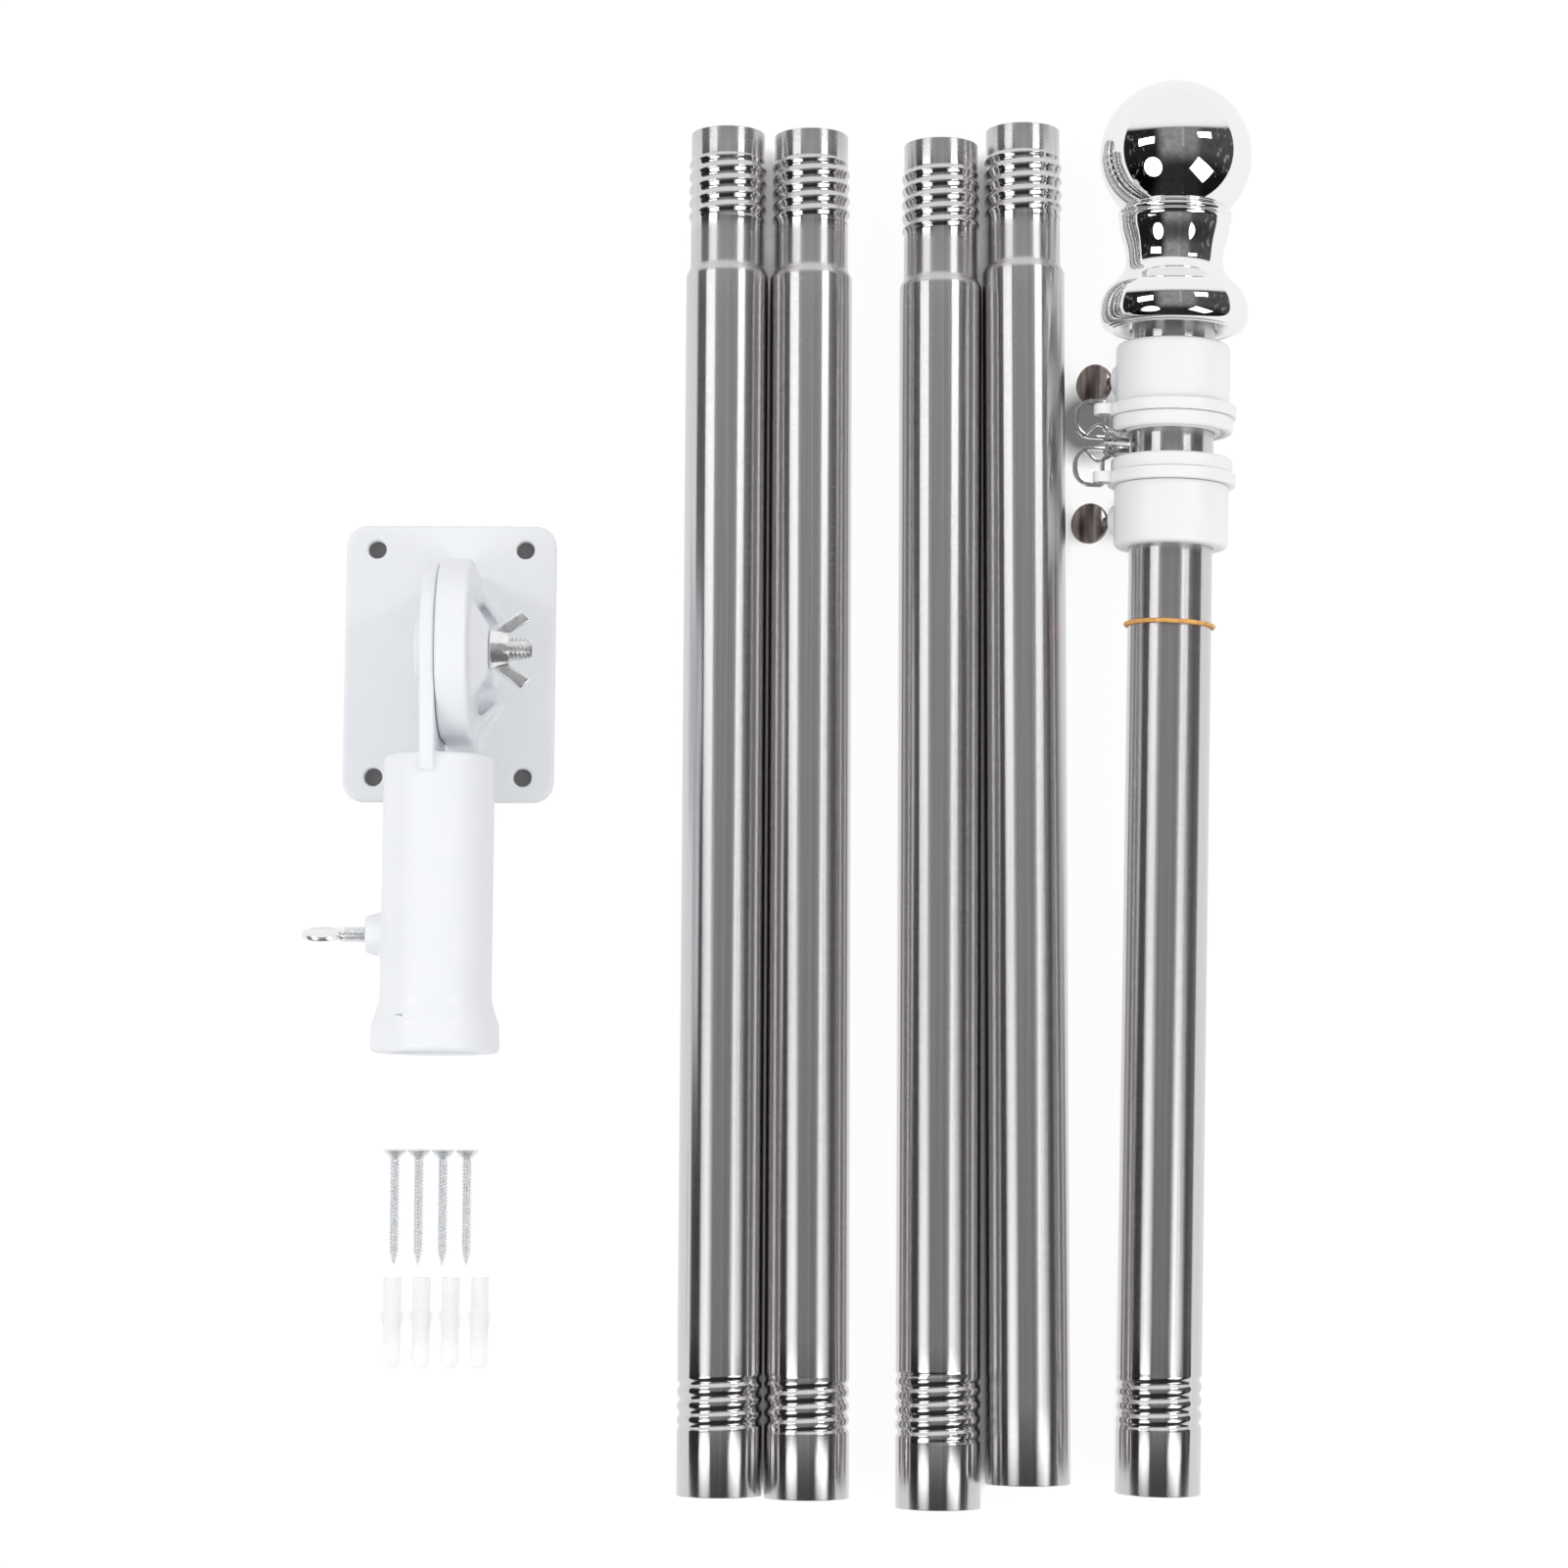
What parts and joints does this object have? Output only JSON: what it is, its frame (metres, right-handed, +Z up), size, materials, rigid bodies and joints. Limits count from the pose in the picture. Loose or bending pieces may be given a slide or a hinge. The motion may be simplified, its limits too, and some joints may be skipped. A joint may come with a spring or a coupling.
{
  "type": "sectional flagpole kit",
  "caption": "Sectional steel flagpole laid out in parts: threaded tubes, ball finial, flag rings with clips, tilting wall bracket, screws and wall plugs.",
  "frame": {"origin": "centre of the wall plate's back face, which lies on the floor", "axes": "+Y along the laid-out poles towards their reduced ends, +X from the bracket to the poles, +Z up from the floor and out of the wall plate's front"},
  "size_m": [0.2866, 0.4332, 0.0596],
  "materials": {
    "stainless_steel": "brushed round the tube",
    "chrome_plating": "mirror",
    "white_enamel": "satin powder coat",
    "zinc_plated_steel": "bright zinc",
    "nickel_plated_steel": "bright nickel",
    "white_plastic": "semi-gloss moulded",
    "plug_plastic": "translucent moulded",
    "orange_rubber": "matte elastic"
  },
  "bodies": {
    "kit": {"wall_plate": "white_enamel", "middle_section_1": "stainless_steel", "middle_section_2": "stainless_steel", "middle_section_3": "stainless_steel", "base_section": "stainless_steel", "top_section": "stainless_steel", "finial_stem": "chrome_plating", "finial_ball": "chrome_plating", "rubber_band": "orange_rubber", "upper_collar": "white_plastic", "upper_retaining_cap": "white_plastic", "lower_collar": "white_plastic", "lower_retaining_cap": "white_plastic", "mounting_screw_1": "zinc_plated_steel", "mounting_screw_2": "zinc_plated_steel", "mounting_screw_3": "zinc_plated_steel", "mounting_screw_4": "zinc_plated_steel", "wall_plug_1": "plug_plastic", "wall_plug_2": "plug_plastic", "wall_plug_3": "plug_plastic", "wall_plug_4": "plug_plastic"},
    "arm": {"socket_arm": "white_enamel", "pivot_bolt": "zinc_plated_steel"},
    "wing_nut": {"wing_nut": "zinc_plated_steel"},
    "socket_thumb_screw": {"socket_thumb_screw": "zinc_plated_steel"},
    "upper_thumb_screw": {"upper_thumb_screw": "nickel_plated_steel"},
    "upper_ring": {"upper_swivel_ring": "white_plastic"},
    "upper_clip": {"upper_clip_hook": "nickel_plated_steel", "upper_clip_gate": "nickel_plated_steel"},
    "lower_thumb_screw": {"lower_thumb_screw": "nickel_plated_steel"},
    "lower_ring": {"lower_swivel_ring": "white_plastic"},
    "lower_clip": {"lower_clip_hook": "nickel_plated_steel", "lower_clip_gate": "nickel_plated_steel"}
  },
  "joints": [
    {"name": "bracket_tilt", "type": "hinge", "parent": "kit", "child": "arm", "pos_m": [0, 0, 0.032], "axis": [-1, 0, 0], "range_deg": [0, 180]},
    {"name": "wing_nut_turn", "type": "hinge", "parent": "arm", "child": "wing_nut", "pos_m": [0.01455, 0, 0.032], "axis": [1, 0, 0], "continuous": true},
    {"name": "socket_screw_turn", "type": "hinge", "parent": "arm", "child": "socket_thumb_screw", "pos_m": [-0.0166, -0.0859, 0.032], "axis": [-1, 0, 0], "continuous": true},
    {"name": "upper_screw_turn", "type": "hinge", "parent": "kit", "child": "upper_thumb_screw", "pos_m": [0.20767, 0.08777, 0.01193], "axis": [-0.8085, 0.0325, -0.5876], "continuous": true},
    {"name": "upper_ring_spin", "type": "hinge", "parent": "kit", "child": "upper_ring", "pos_m": [0.22151, 0.07576, 0.02183], "axis": [0.0197, 0.9994, 0.0281], "continuous": true},
    {"name": "upper_clip_swing", "type": "hinge", "parent": "upper_ring", "child": "upper_clip", "pos_m": [0.20055, 0.07609, 0.02477], "axis": [0.0197, 0.9994, 0.0281], "range_deg": [-60, 60]},
    {"name": "lower_screw_turn", "type": "hinge", "parent": "kit", "child": "lower_thumb_screw", "pos_m": [0.20629, 0.04388, 0.01145], "axis": [-0.8382, 0.0318, -0.5444], "continuous": true},
    {"name": "lower_ring_spin", "type": "hinge", "parent": "kit", "child": "lower_ring", "pos_m": [0.2211, 0.05477, 0.02124], "axis": [0.0197, 0.9994, 0.0281], "continuous": true},
    {"name": "lower_clip_swing", "type": "hinge", "parent": "lower_ring", "child": "lower_clip", "pos_m": [0.20013, 0.0551, 0.02419], "axis": [0.0197, 0.9994, 0.0281], "range_deg": [-60, 60]}
  ]
}
